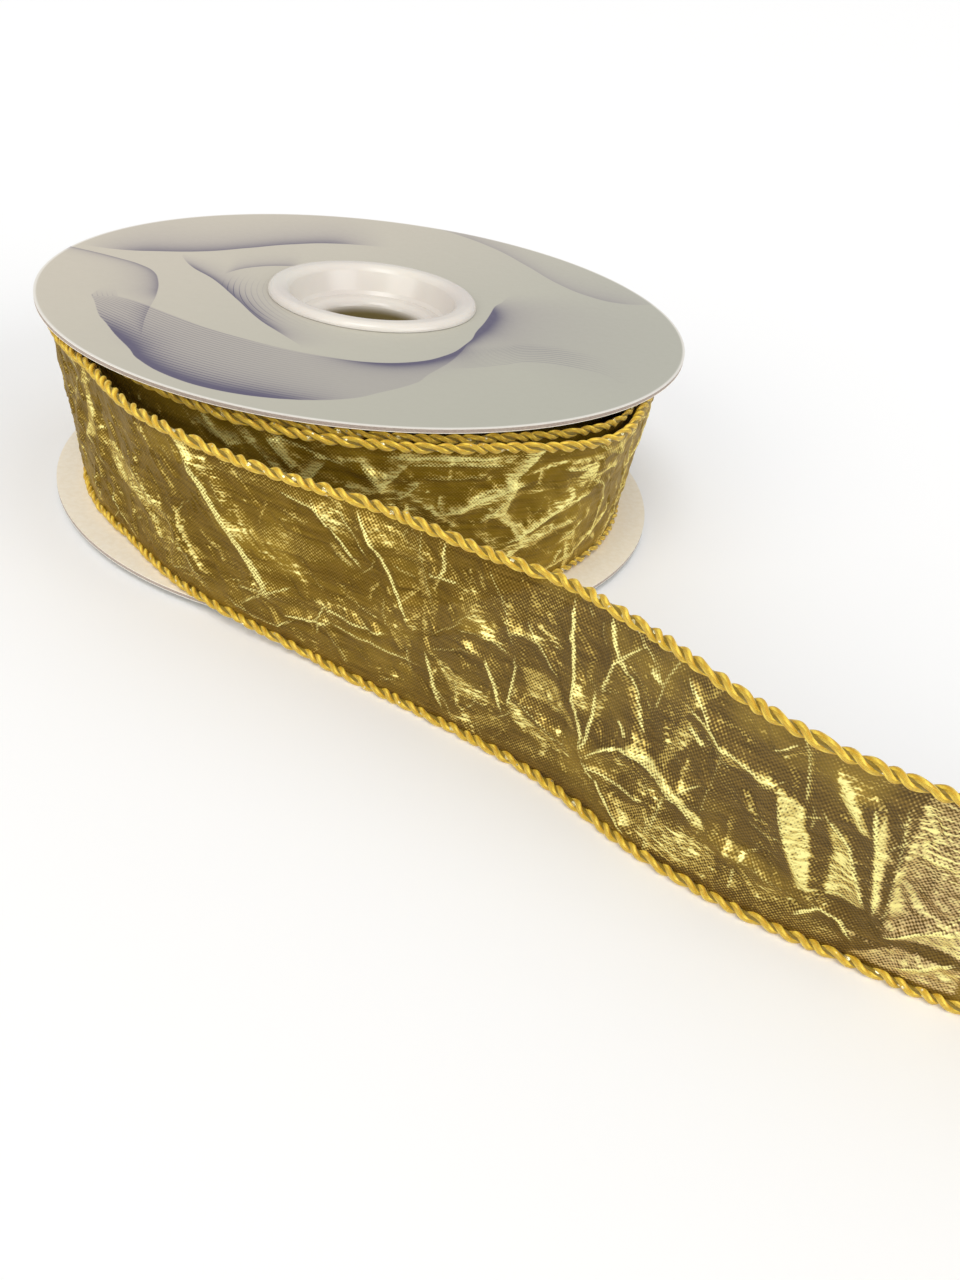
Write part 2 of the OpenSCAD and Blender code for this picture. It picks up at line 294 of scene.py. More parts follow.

# Facets of film between those creases that get a painted highlight, and how brightly
LIT_FACETS = [
    ([(-8, 24), (-5, 35), (-3, 36), (-4.5, 27), (-5, 21), (-9, 20)], 0.75),
    ([(-2, 22), (4, 24.5), (10, 23.5), (15, 21.5), (21, 19.3), (22.5, 15.5), (17, 14), (10, 15),
      (4, 17)], 0.62),
    ([(10, 12), (17, 14), (22.5, 15), (24, 12), (27, 7), (20, 5), (14, 6)], 0.3),
    ([(23, 14), (25, 12.6), (29.4, 4.5), (27, 4)], 0.55),
    ([(34, 33.2), (46, 32.6), (54, 35.5), (40, 35.8)], 0.4),
    ([(36, 22.5), (41, 25.5), (50, 27.2), (57, 24.5), (53, 22), (45, 21.5)], 0.42),
    ([(37, 16), (44, 16), (56, 19), (48, 20)], 0.28),
    ([(54.5, 35), (58, 35.5), (61, 30), (57, 31.5)], 0.5),
    ([(33, 15), (52, 15), (66, 19), (64, 13), (46, 8), (36, 8)], 0.18),
    ([(62, 35.5), (72, 35), (76, 30), (68, 29)], 0.35),
    ([(76, 31), (83, 30), (90, 21), (84, 23)], 0.42),
    ([(85, 30), (97, 35.5), (98, 31), (91, 27)], 0.35),
    ([(76, 14.5), (84, 12), (89, 9.6), (80, 8.5)], 0.62),
    ([(79.5, 3.2), (88, 8.6), (92, 7), (86, 3.5)], 0.55),
    ([(91.8, 20.5), (99, 20), (104, 14.5), (94, 15.2)], 0.68),
    ([(91, 13), (98, 10.8), (104.5, 8.6), (98, 7), (92, 9)], 0.6),
    ([(90, 3), (95, 6.6), (104, 6.2), (97, 4)], 0.55),
    ([(101.5, 23), (107.5, 22), (106.5, 19.5), (103, 18)], 0.5),
    ([(108, 13), (112, 16.2), (119, 15.6), (122, 11.5)], 0.42),
    ([(106.6, 10.6), (118, 9.7), (126, 10.3), (119, 8)], 0.5),
    ([(131, 3), (131, 8.5), (141, 9.3), (150, 4.2), (148, 2)], 0.42),
    ([(120, 28.5), (123, 27.5), (119.5, 18.5), (117.8, 19)], 0.56),
    ([(124, 26.3), (126, 25.6), (130.5, 21.2), (129, 21.4)], 0.46),
    ([(112, 7.5), (118, 9.3), (130, 9.8), (131.5, 3.2), (119, 2.6)], 0.58),
    ([(113, 17.3), (118, 17), (123, 15), (127, 12), (128, 13), (123, 16.6), (118, 18.6), (113, 18.8)], 0.8),
    ([(120, 30.8), (126, 28.6), (134.4, 27.2), (134, 26), (126, 26.8)], 0.6),
    ([(135, 26.8), (138.6, 25.5), (140.6, 20), (143.2, 11.2), (141.4, 11.4), (138, 18)], 1.0),
    ([(140.4, 34.5), (143, 32), (147, 26.5), (145, 26.4), (141.6, 30.5)], 1.0),
    ([(141, 26.5), (144.5, 24), (150.6, 12.4), (145, 12.4), (144, 17), (143.4, 21)], 0.8),
    ([(146.8, 32), (148.8, 27), (151.6, 14), (150, 16), (147.6, 25)], 0.95),
    ([(150.4, 36), (158, 35.5), (162, 14), (153.4, 10), (151.6, 20)], 0.6),
    ([(158, 36), (166, 33), (162, 19)], 0.55),
    ([(153.2, 9.6), (157, 13), (163, 17), (165, 11), (158, 10.5)], 0.9),
    ([(150.5, 2.4), (156, 8), (164, 9), (165, 2.6)], 0.75),
    ([(167, 33), (173, 36), (170, 20)], 0.5),
    ([(166, 22), (177, 18), (182, 7), (172, 11)], 0.5),
    ([(179, 20), (189, 29), (185, 13)], 0.42),
]

# The same two lists for the outer turns, where they show in front between the flange and the free end
OUTER_CREASES = [
    ([(-360.5, 37), (-357.5, 33.5), (-355, 31.5), (-351, 33)], 0.6, 2.4, 1.1),
    ([(-348.5, 35.5), (-346, 32.5), (-343.5, 29.5)], 0.8, 2.6, 1.3),
    ([(-347, 35.5), (-344.8, 32.5)], 0.3, 1.2, 0.9),
    ([(-342, 32.8), (-337, 33.2), (-333, 33.6)], 0.4, 1.6, 1.0),
    ([(-334, 34), (-331.5, 30), (-329.5, 26.5)], 0.7, 2.4, 1.2),
    ([(-331, 34.8), (-322, 35), (-312, 34.6)], 0.5, 1.6, 1.3),
    ([(-327.5, 33.4), (-319, 33.8), (-309, 33)], 0.4, 1.4, 1.1),
    ([(-328, 25), (-325.5, 28), (-324, 30.5)], 0.5, 2.0, 1.1),
    ([(-324, 31), (-318, 30.6), (-313, 31.6)], 0.4, 1.6, 0.8),
    ([(-321, 22.6), (-317, 24), (-312, 26.4), (-308.5, 28.4), (-305, 29)], 0.9, 2.6, 1.5),
    ([(-316, 25.5), (-311, 28.6)], 0.4, 1.4, 1.2),
    ([(-313, 20), (-310, 24), (-308, 27.6)], 0.6, 2.2, 1.1),
    ([(-306.5, 14), (-303.5, 17), (-300, 19.4), (-297, 22.5), (-294, 24.4)], 0.9, 2.6, 1.4),
    ([(-302, 14), (-296, 16.6), (-291, 17.2)], 0.6, 2.0, 1.2),
    ([(-300.5, 32), (-295, 31), (-292, 28)], 0.6, 2.2, 1.3),
    ([(-290.5, 29), (-286, 28), (-282, 26)], 0.6, 2.0, 1.2),
    ([(-298, 21), (-290, 24)], 0.5, 1.8, 1.0),
    ([(-293.5, 12), (-290, 14.6), (-288, 16)], 0.5, 1.8, 1.2),
    ([(-292, 5), (-291, 9.5)], 0.5, 1.8, 1.1),
    ([(-282.5, 33), (-276, 31)], 0.5, 1.8, 1.2),
    ([(-280.5, 8), (-276.5, 5)], 0.5, 1.8, 1.2),
]
OUTER_FACETS = [
    ([(-330, 33.8), (-310, 33.4), (-308, 35.4), (-328, 35.8)], 0.7),
    ([(-321, 21.4), (-309, 26.2), (-307, 28.6), (-318, 24.6)], 0.8),
    ([(-307, 13), (-299, 18), (-291, 17), (-300, 12.6)], 0.75),
    ([(-296, 28.4), (-291.5, 28.4), (-292, 31.4), (-295, 31)], 1.0),
    ([(-294, 11), (-288.5, 14.8), (-289.6, 11)], 1.0),
    ([(-344, 30), (-338, 31), (-336, 28), (-342, 27)], 0.35),
    ([(-300, 33.5), (-285, 34.5), (-280, 32.5), (-293, 32)], 0.6),
]


class Crinkle:
    """Height of the crushed cloth over a grid of s by t, and its painted highlights: crease lines and lit
    film.
    """

    def __init__(self, s, t):
        self.s, self.t = s, t
        self.height = np.zeros((len(s), len(t)))
        self.line = np.zeros((len(s), len(t)))
        self.film = np.zeros((len(s), len(t)))

    def rows(self, p, reach):
        """The part of the grid within reach of the points p."""
        first = np.searchsorted(self.s, p[:, 0].min() - reach)
        last = np.searchsorted(self.s, p[:, 0].max() + reach)
        return first, last

    def fold(self, points, height, width, line=1.0, skew=1.0, lit=0.0):
        """A tent-shaped fold along a chain of points, fading towards its ends, with a painted highlight line
        on its crest and a painted highlight on one flank.
        """
        p = np.array(points, float)
        first, last = self.rows(p, width * max(skew, 1 / skew) + 1)
        if last - first < 2:
            return
        s, t = self.s[first:last, None], self.t[None, :]
        lengths = np.linalg.norm(np.diff(p, axis=0), axis=1)
        starts = np.concatenate([[0], np.cumsum(lengths)])
        best = np.full((last - first, len(self.t)), 1e3)
        run = np.zeros_like(best)
        for a, b, length, start in zip(p[:-1], p[1:], lengths, starts):
            d = (b - a) / length
            along = np.clip((s - a[0]) * d[0] + (t - a[1]) * d[1], 0, length)
            across = (t - a[1]) * d[0] - (s - a[0]) * d[1]
            gap = np.hypot(s - a[0] - d[0] * along, t - a[1] - d[1] * along)
            near = gap < np.abs(best)
            best = np.where(near, np.where(across > 0, gap, -gap), best)
            run = np.where(near, start + along, run)
        fade = np.clip(np.minimum(run, starts[-1] - run) / (0.25 * starts[-1]) + 0.35, 0, 1)
        side = np.where(best > 0, width * skew, width / skew)
        tent = np.clip(1 - np.abs(best) / side, 0, 1)
        self.height[first:last] += 1.3 * height * fade * tent**1.25
        # painted highlights: a bright line along the crest, and a lit band on one flank
        mark = line * fade * np.exp(-((best / LINE_HALF) ** 2))
        self.line[first:last] = np.maximum(self.line[first:last], mark)
        flank = lit * (fade - 0.35) * 1.5 * np.clip(tent * 1.6 - 0.5, 0, 1) * (best > 0)
        self.film[first:last] = np.maximum(self.film[first:last], flank)

    def patch(self, points, level):
        """A painted highlight on a facet: a polygon of lit film with a slightly soft edge."""
        p = np.array(points, float)
        first, last = self.rows(p, 2)
        if last - first < 2:
            return
        s, t = np.meshgrid(self.s[first:last], self.t, indexing="ij")
        inside = np.zeros(s.shape, bool)
        border = np.full(s.shape, 1e3)
        for a, b in zip(p, np.roll(p, -1, axis=0)):
            d = b - a
            along = np.clip(((s - a[0]) * d[0] + (t - a[1]) * d[1]) / (d @ d), 0, 1)
            border = np.minimum(border, np.hypot(s - a[0] - d[0] * along, t - a[1] - d[1] * along))
            crosses = (a[1] > t) != (b[1] > t)
            with np.errstate(divide="ignore", invalid="ignore"):
                inside ^= crosses & (s < a[0] + d[0] * (t - a[1]) / d[1])
        blur = 0.6 if level > 0.55 else 2.0
        soft = np.clip(np.where(inside, border, -border) / blur + 0.5, 0, 1)
        self.film[first:last] = np.maximum(self.film[first:last], level * soft)

    def scatter(self, per_cm, heights, widths, lengths, lines, lit, seed):
        """Short random creases, mostly steep across the ribbon."""
        draw = np.random.default_rng(seed)
        count = int((self.s[-1] - self.s[0]) / 10 * per_cm)
        for _ in range(count):
            s0 = draw.uniform(self.s[0], self.s[-1])
            t0 = draw.uniform(2, RIBBON_W - 2)
            angle = draw.choice([-1, -1, 1]) * radians(draw.uniform(5, 85))
            half = draw.uniform(*lengths) / 2
            kink = draw.uniform(-0.3, 0.3)
            points = [
                (s0 - half * cos(angle - kink), t0 - half * sin(angle - kink)),
                (s0, t0),
                (s0 + half * cos(angle + kink), t0 + half * sin(angle + kink)),
            ]
            height = draw.uniform(*heights) * draw.choice([1, 1, -1])
            level = max(0.0, draw.uniform(*lit))
            skew = draw.uniform(0.5, 2)
            self.fold(points, height, draw.uniform(*widths), max(0.0, draw.uniform(*lines)), skew, level)

    def facets(self, size, depth, seed):
        """Small flat facets, made by folding the plane along a few directions in turn."""
        draw = np.random.default_rng(seed)
        s, t = np.meshgrid(self.s, self.t, indexing="ij")
        h = np.zeros_like(s)
        for fold in range(6):
            angle = draw.uniform(0, pi)
            width = size * draw.uniform(0.7, 1.5)
            u = (s * cos(angle) + t * sin(angle)) / width + 0.9 * h + draw.uniform(0, 1)
            h = h * 0.75 + np.abs(u - np.round(u)) * (1.2 if fold % 2 else -1.2)
        self.height += depth * (h - h.mean())

    def settle(self):
        """The wired edges hold the cloth, so folds flatten out towards them; facets that tip up get a painted
        highlight.
        """
        edge = np.minimum(self.t, RIBBON_W - self.t)
        self.height *= np.interp(edge, [0, 1.5, 5], [0.12, 0.25, 1])[None, :]
        self.height -= 0.35 * self.height.mean(axis=1, keepdims=True)
        along, upward = np.gradient(self.height, self.s, self.t)
        # painted highlight on facets that tip towards one fixed direction
        painted_tilt_highlight = np.clip((-upward * 0.8 - along * 0.6 - 0.12) / 0.5, 0, 1)
        self.film = np.clip(self.film + 0.45 * painted_tilt_highlight, 0, 1)


def surface(s, t, free_end=False):
    """Points of the crushed cloth for the lengths s and heights t, and its painted highlights: crease lines
    and lit film.
    """
    cloth = Crinkle(s, t)
    if free_end:
        for points, height, width, line in MAIN_CREASES:
            cloth.fold(points, height, width, line)
        for points, level in LIT_FACETS:
            cloth.patch(points, level)
        cloth.scatter(4.0, (0.15, 0.5), (1.2, 3.5), (5, 20), (-0.2, 0.8), (-0.3, 0.9), FREE_SEED)
        cloth.scatter(24.0, (0.05, 0.2), (0.5, 1.6), (2, 8), (-0.2, 0.6), (-0.2, 0.8), FREE_SEED + 1)
    else:
        for points, height, width, line in OUTER_CREASES:
            cloth.fold(points, height, width, 0.72 * line, lit=0.8 * line)
        for points, level in OUTER_FACETS:
            cloth.patch(points, level)
        cloth.scatter(6.0, (0.15, 0.6), (1.2, 3.5), (7, 28), (-0.4, 0.85), (-0.3, 1.3), OUTER_SEED)
        cloth.scatter(26.0, (0.05, 0.25), (0.5, 1.6), (2, 9), (-0.4, 0.5), (-0.2, 1.0), OUTER_SEED + 1)
    cloth.facets(7.0, 0.55, 5)
    cloth.settle()
    base, up, out = ribbon.at(s)
    height = cloth.height * (FREE_RELIEF if free_end else OUTER_RELIEF)
    points = base[:, None] + up[:, None] * t[None, :, None] + out[:, None] * height[:, :, None]
    return points, cloth.line, cloth.film


# ---------- Meshes ----------


def new_object(name, vertices, faces, uv=None, values=None, smooth=True):
    mesh = bpy.data.meshes.new(name)
    mesh.from_pydata((np.asarray(vertices).reshape(-1, 3) * MM).tolist(), [], faces)
    if smooth:
        mesh.shade_smooth()
    if uv is not None:
        layer = mesh.uv_layers.new(name="along_and_up")
        index = np.empty(len(mesh.loops), int)
        mesh.loops.foreach_get("vertex_index", index)
        layer.data.foreach_set("uv", np.asarray(uv).reshape(-1, 2)[index].astype(np.float32).ravel())
    for key, value in (values or {}).items():
        attribute = mesh.attributes.new(key, "FLOAT", "POINT")
        attribute.data.foreach_set("value", np.asarray(value).astype(np.float32).ravel())
    mesh.update()
    obj = bpy.data.objects.new(name, mesh)
    bpy.context.scene.collection.objects.link(obj)
    return obj


def grid_faces(rows, columns, closed=False):
    r, c = np.meshgrid(np.arange(rows - 1), np.arange(columns if closed else columns - 1), indexing="ij")
    n = (c + 1) % columns
    this, following = r * columns, (r + 1) * columns
    corners = np.stack([this + c, following + c, following + n, this + n], -1)
    return corners.reshape(-1, 4).tolist()


def cloth_object(name, s, t, points, line, film):
    uv = np.stack(np.meshgrid(s, t, indexing="ij"), -1)
    return new_object(name, points, grid_faces(len(s), len(t)), uv, {"painted_crease_highlight": line, "painted_film_highlight": film})


def strand_mesh(centre, radius_a, radius_b, axis_a, axis_b, sides):
    """Rings of an elliptical strand, with its two half widths along axis_a and axis_b."""
    angle = np.arange(sides)[None, :, None] * 2 * pi / sides
    wide = np.reshape(radius_a, (-1, 1, 1)) * axis_a[:, None]
    high = np.reshape(radius_b, (-1, 1, 1)) * axis_b[:, None]
    return centre[:, None] + np.cos(angle) * wide + np.sin(angle) * high


def tube_faces(rows, sides, offset):
    faces = [[i + offset for i in f] for f in grid_faces(rows, sides, closed=True)]
    faces.append([offset + i for i in range(sides)])
    faces.append([offset + (rows - 1) * sides + i for i in reversed(range(sides))])
    return faces


def rope_object(name, s, centre, up, out, flatten=1.0, sides=8, radius=ROPE_R):
    """The overlocked edge: two strands twisted about a darker core, which is the folded edge of the web."""
    vertices, faces, uvs = [], [], []
    wander = 0.5 * np.sin(s * 0.41) + 0.35 * np.sin(s * 1.13 + 1.0)
    breath = 1 + 0.07 * np.sin(s * 0.83 + 0.5)
    for k, (swing, thick) in enumerate(((0.55, 0.48), (0.55, 0.48), (0.0, 0.5))):
        phase = wander + pi * k - 2 * pi * s / ROPE_PITCH
        reach = radius * swing * breath
        across = (np.cos(phase) * reach * flatten)[:, None] * out
        middle = centre + across + (np.sin(phase) * reach)[:, None] * up
        along = np.gradient(middle, axis=0)
        along /= np.linalg.norm(along, axis=1)[:, None]
        a = out - along * np.sum(out * along, 1)[:, None]
        a /= np.linalg.norm(a, axis=1)[:, None]
        b = np.cross(along, a)
        rings = strand_mesh(middle, radius * thick * flatten, radius * thick, a, b, sides)
        faces += tube_faces(len(s), sides, sum(len(v) for v in vertices))
        vertices.append(rings.reshape(-1, 3))
        core = 4.0 if k == 2 else 0.0
        around = np.arange(sides) / sides + core
        uvs.append(np.stack(np.meshgrid(s, around, indexing="ij"), -1).reshape(-1, 2))
    return new_object(name, np.vstack(vertices), faces, np.vstack(uvs))


def wire_object(name, centre, up, out, radius=0.2, sides=6):
    rings = strand_mesh(centre, radius, radius, out, up, sides)
    return new_object(name, rings.reshape(-1, 3), tube_faces(len(centre), sides, 0))


# ---------- Materials ----------


class Field:
    """A value in a node tree, so that shader arithmetic reads as arithmetic."""

    def __init__(self, tree, socket):
        self.tree, self.socket = tree, socket

    def math(self, operation, *others, clamp=False):
        node = self.tree.nodes.new("ShaderNodeMath")
        node.operation = operation
        node.use_clamp = clamp
        for i, value in enumerate((self,) + others):
            feed(self.tree, value, node.inputs[i])
        return Field(self.tree, node.outputs[0])

    def __add__(self, other):
        return self.math("ADD", other)

    def __sub__(self, other):
        return self.math("SUBTRACT", other)

    def __mul__(self, other):
        return self.math("MULTIPLY", other)

    def __truediv__(self, other):
        return self.math("DIVIDE", other)

    __radd__ = __add__
    __rmul__ = __mul__

    def within(self, low, high):
        """0 at low, 1 at high, smooth between; low may be above high."""
        node = self.tree.nodes.new("ShaderNodeMapRange")
        node.interpolation_type = "SMOOTHSTEP"
        feed(self.tree, self, node.inputs["Value"])
        values = (low, high, 0.0, 1.0) if low < high else (high, low, 1.0, 0.0)
        for key, value in zip(("From Min", "From Max", "To Min", "To Max"), values):
            node.inputs[key].default_value = value
        return Field(self.tree, node.outputs["Result"])


def feed(tree, value, socket):
    if isinstance(value, Field):
        tree.links.new(value.socket, socket)
    elif isinstance(value, bpy.types.NodeSocket):
        tree.links.new(value, socket)
    else:
        socket.default_value = value


class Shader:
    """One material and short ways to add nodes to it."""

    def __init__(self, name):
        self.material = bpy.data.materials.new(name)
        self.material.use_nodes = True
        self.tree = self.material.node_tree
        self.body = self.tree.nodes["Principled BSDF"]
        self.output = self.tree.nodes["Material Output"]

    def node(self, kind, inputs=None, **settings):
        n = self.tree.nodes.new(kind)
        for key, value in settings.items():
            setattr(n, key, value)
        for key, value in (inputs or {}).items():
            feed(self.tree, value, n.inputs[key])
        return n

    def set(self, **values):
        """Constants and fields on the shader's own sockets."""
        for key, value in values.items():
            feed(self.tree, value, self.body.inputs[key.replace("_", " ")])

    def place(self):
        """Object coordinates in millimetres, as (vector, x, y, z)."""
        coord = self.node("ShaderNodeTexCoord").outputs["Object"]
        scaled = self.stretch(coord, (1000, 1000, 1000))
        xyz = self.node("ShaderNodeSeparateXYZ", {0: scaled})
        return (scaled, *[Field(self.tree, xyz.outputs[i]) for i in range(3)])

    def along_up(self):
        """The ribbon's own coordinates in millimetres, as (vector, s, t)."""
        uv = self.node("ShaderNodeUVMap", uv_map="along_and_up").outputs[0]
        xyz = self.node("ShaderNodeSeparateXYZ", {0: uv})
        return uv, Field(self.tree, xyz.outputs[0]), Field(self.tree, xyz.outputs[1])

    def stretch(self, vector, scale):
        return self.node("ShaderNodeVectorMath", {0: vector, 1: scale}, operation="MULTIPLY").outputs[0]

    def noise(self, vector, scale, detail=3.0, roughness=0.5):
        inputs = {"Vector": vector, "Scale": scale, "Detail": detail, "Roughness": roughness}
        return Field(self.tree, self.node("ShaderNodeTexNoise", inputs).outputs[0])

    def attribute(self, name):
        return Field(self.tree, self.node("ShaderNodeAttribute", attribute_name=name).outputs["Fac"])

    def mix(self, amount, a, b):
        """Colour a where amount is 0 and b where it is 1."""
        n = self.node("ShaderNodeMix", data_type="RGBA")
        feed(self.tree, amount, n.inputs[0])
        for value, socket in ((a, n.inputs[6]), (b, n.inputs[7])):
            feed(self.tree, (*value, 1) if isinstance(value, tuple) else value, socket)
        return n.outputs[2]

    def bump(self, height, strength, distance=0.0002):
        n = self.node("ShaderNodeBump", {"Height": height, "Strength": strength, "Distance": distance})
        self.tree.links.new(n.outputs[0], self.body.inputs["Normal"])
        return n

    def curve(self, field, points):
        """A smooth function through a few points; points are (input, output) in any range."""
        xs, ys = [p[0] for p in points], [p[1] for p in points]
        x0, x1, y0, y1 = min(xs), max(xs), min(ys), max(ys)
        n = self.node("ShaderNodeFloatCurve")
        c = n.mapping.curves[0]
        while len(c.points) < len(points):
            c.points.new(0.5, 0.5)
        for point, (x, y) in zip(c.points, sorted(points)):
            point.location = ((x - x0) / (x1 - x0), (y - y0) / (y1 - y0))
        n.mapping.extend = "HORIZONTAL"
        n.mapping.update()
        feed(self.tree, (field - x0) / (x1 - x0), n.inputs["Value"])
        return Field(self.tree, n.outputs[0]) * (y1 - y0) + y0


def srgb(r, g, b):
    """Linear colour of a display colour from 0 to 255."""
    shares = (r / 255, g / 255, b / 255)
    return tuple(c / 12.92 if c <= 0.04045 else ((c + 0.055) / 1.055) ** 2.4 for c in shares)


def hub_material():
    """Glossy white moulding, slightly translucent; the wall far down the bore is painted a dark olive, which
    is painted shade.
    """
    m = Shader("hub_plastic")
    p, x, y, z = m.place()
    r = (x * x + y * y).math("SQRT")
    # painted shade: the bore's wall below its mouth, away from its lower end, is coloured dark olive
    bore_shade = z.within(BORE_TOP, BORE_TOP - 2.5) * z.within(2, 6) * r.within(13.2, 12.6)
    cloud = m.noise(p, 0.06, 2)
    clean = m.mix(cloud.within(0.3, 0.7), srgb(219, 213, 203), srgb(212, 204, 196))
    m.set(Base_Color=m.mix(bore_shade, clean, srgb(124, 110, 70)))
    m.set(Roughness=m.noise(p, 0.25, 2) * 0.08 + 0.2, IOR=1.49)
    m.set(Subsurface_Weight=0.3, Subsurface_Radius=(0.004, 0.0034, 0.0028), Subsurface_Scale=0.6)
    m.bump(m.noise(p, 0.12, 2), 0.05)
    return m.material


def board_material():
    m = Shader("greyboard")
    p = m.place()[0]
    fibre = m.noise(m.stretch(p, (1, 1, 7)), 2.2, 4, 0.7)
    m.set(Base_Color=m.mix(fibre.within(0.35, 0.65), srgb(150, 134, 124), srgb(184, 170, 158)))
    m.set(Roughness=0.85)
    m.bump(fibre, 0.5)
    return m.material


def liner_material():
    m = Shader("cream_liner")
    p = m.place()[0]
    pulp = m.noise(p, 0.9, 5, 0.65)
    m.set(Base_Color=m.mix(pulp.within(0.3, 0.7), srgb(252, 245, 230), srgb(246, 237, 218)))
    m.set(Roughness=0.7)
    m.bump(pulp, 0.12)
    return m.material


def core_material():
    m = Shader("core_paperboard")
    p, x, y, z = m.place()
    angle = y.math("ARCTAN2", x)
    wind = (angle * 9.0 + z * 0.55).math("SINE")
    fibre = m.noise(p, 1.5, 4, 0.7)
    m.set(Base_Color=m.mix((fibre + wind * 0.05).within(0.3, 0.7), srgb(150, 126, 98), srgb(184, 160, 128)))
    m.set(Roughness=0.9)
    m.bump(wind.within(0.96, 1) * 0.5 + fibre * 0.5, 0.4)
    return m.material


def tape_material():
    m = Shader("tape")
    p = m.place()[0]
    m.set(Base_Color=m.mix(m.noise(p, 0.7, 3), srgb(226, 214, 180), srgb(238, 230, 204)), Roughness=0.45)
    m.bump(m.noise(m.stretch(p, (1, 1, 0.1)), 3.0, 2), 0.2)
    return m.material


def wire_material():
    m = Shader("drawn_wire")
    p = m.place()[0]
    m.set(Base_Color=m.mix(m.noise(p, 3.0, 3), srgb(150, 146, 140), srgb(196, 190, 182)))
    m.set(Metallic=1.0, Roughness=0.35)
    return m.material


def facing_material():
    """Satin printed paper: generic flowing swirls, each a sharp dark edge that fades into a haze."""
    m = Shader("printed_facing")
    p, x, y, z = m.place()
    r = (x * x + y * y).math("SQRT")
    azimuth = y.math("ARCTAN2", x) * (180 / pi)

    def haze(d, fade, strength, low, high, along, soft=6.0):
        """Ink that is darkest at d = 0 and thins out over fade, between two limits along the edge."""
        decay = (d * (-1 / fade)).math("EXPONENT")
        ends = along.within(low, low + soft) * along.within(high, high - soft)
        return d.within(-0.12, 0.12) * decay * ends * strength

    def lines(d, spacing, width):
        phase = (d / spacing).math("FRACT")
        return (phase - 0.5).math("ABSOLUTE").within(width / spacing, width / spacing * 0.4)

    # the long wave at the back
    f = m.curve(x, [(-66, 17), (-57, 15.5), (-48, 17.5), (-40, 20.5), (-30, 27.5), (-20, 35), (-10, 39.8),
                    (2, 41.5)])
    back = haze(y - f, 9.5, 0.85, -66, 4, x, 16)
    # the left leaf, whose edge runs down to the crescent
    f = m.curve(y, [(-46, -39.5), (-36, -41.5), (-25, -42.8), (-12, -43.3), (-4, -44.5), (2, -46.5), (6, -50),
                    (9, -55), (13, -64), (17, -76)])
    left = haze(f - x, 3.6, 0.78, -22, 24, y, 12)
    left_low = haze(f - x, 2.2, 0.32, -46, -8, y, 8)
    # the crescent that runs under the hub: its outer edge as a radius about its own middle
    cx, cy = x + 14, y + 20
    ca = cy.math("ARCTAN2", cx) * (180 / pi)
    ca = ca + 360 * ca.math("LESS_THAN", 90.0)
    cr = (cx * cx + cy * cy).math("SQRT")
    outer = m.curve(ca, [(176, 41), (192, 37.8), (211, 36.4), (227, 38.2), (241, 39.8), (254, 40.5),
                         (266, 40.4), (283, 39.5), (297, 37.1), (310, 35.5), (325, 33.2), (345, 33),
                         (363, 36)])
    inside = outer - cr
    rim = haze(inside, 3.6, 0.95, 182, 292, ca, 34)
    # its upper edge, as a radius about the hub
    ta = azimuth + 360 * azimuth.math("LESS_THAN", 90.0)
    upper = m.curve(ta, [(198, 52.6), (207, 47), (225, 42.4), (240, 40.3), (258, 39.5), (270, 39.4),
                         (282, 38.1), (295, 34.9), (312, 29.7), (332, 25.9), (358, 26), (372, 29.5),
                         (382, 34)])
    beyond = r - upper
    in_crescent = inside.within(-0.15, 0.15) * beyond.within(-0.15, 0.15) * ca.within(360, 350)
    wash = in_crescent * y.within(-10, -22) * 0.32
    hatch = lines(beyond + azimuth * 0.02, 0.95, 0.16)
    fan = in_crescent * hatch * x.within(4, -30) * y.within(-13, -19) * 0.4
    hub_curve = haze(beyond, 2.6, 1.0, 250, 374, ta, 30)
    right_haze = haze(beyond, 15.0, 0.5, 306, 384, ta, 24)
    # the small wave beside the hub
    f = m.curve(y, [(-34, -13), (-28, -17.5), (-22, -21.8), (-10, -28), (1, -34), (9, -40), (16, -43)])
    small = haze(x - f, 3.4, 0.95, -36, 18, y, 12)
    g = m.curve(x, [(-33, 2), (-31, 8), (-26, 13.5), (-18, 17)])
    small_top = haze(y - g, 3.6, 0.7, -34, -16, x, 4) * (x - f).within(0, 1)
    ripple = lines(r - 0.25 * (x + 30), 1.5, 0.16) * haze(x - f, 9, 0.5, -26, 8, y, 8) * r.within(33, 29)
    # the fine lines at the lower right and the wave at the upper right
    bow = m.curve(x, [(10, -40), (20, -37), (26, -34), (33, -31), (40, -32), (48, -38)])
    spread = (x - 8) * 0.03 + 0.25
    bows = lines((y - bow) / spread, 1.0, 0.2) * (y - bow).within(-0.4, 0.4) * (y - bow).within(12, 8)
    bows = bows * x.within(12, 20) * x.within(52, 38) * 0.5
    f = m.curve(x, [(14, 67), (20, 63), (30, 52.5), (38, 38), (44, 25.5), (50, 18), (57, 14.5), (66, 16.5)])
    far = haze(y - f, 7.5, 0.5, 10, 70, x, 16)

    ink = back.math("MAXIMUM", left).math("MAXIMUM", left_low).math("MAXIMUM", rim).math("MAXIMUM", hub_curve)
    ink = ink.math("MAXIMUM", small).math("MAXIMUM", small_top).math("MAXIMUM", far)
    ink = (ink + wash + fan + right_haze + ripple + bows).math("MINIMUM", 1.0)
    top_side = z.within(20, 21) + z.within(3, 2)
    ink = ink * top_side
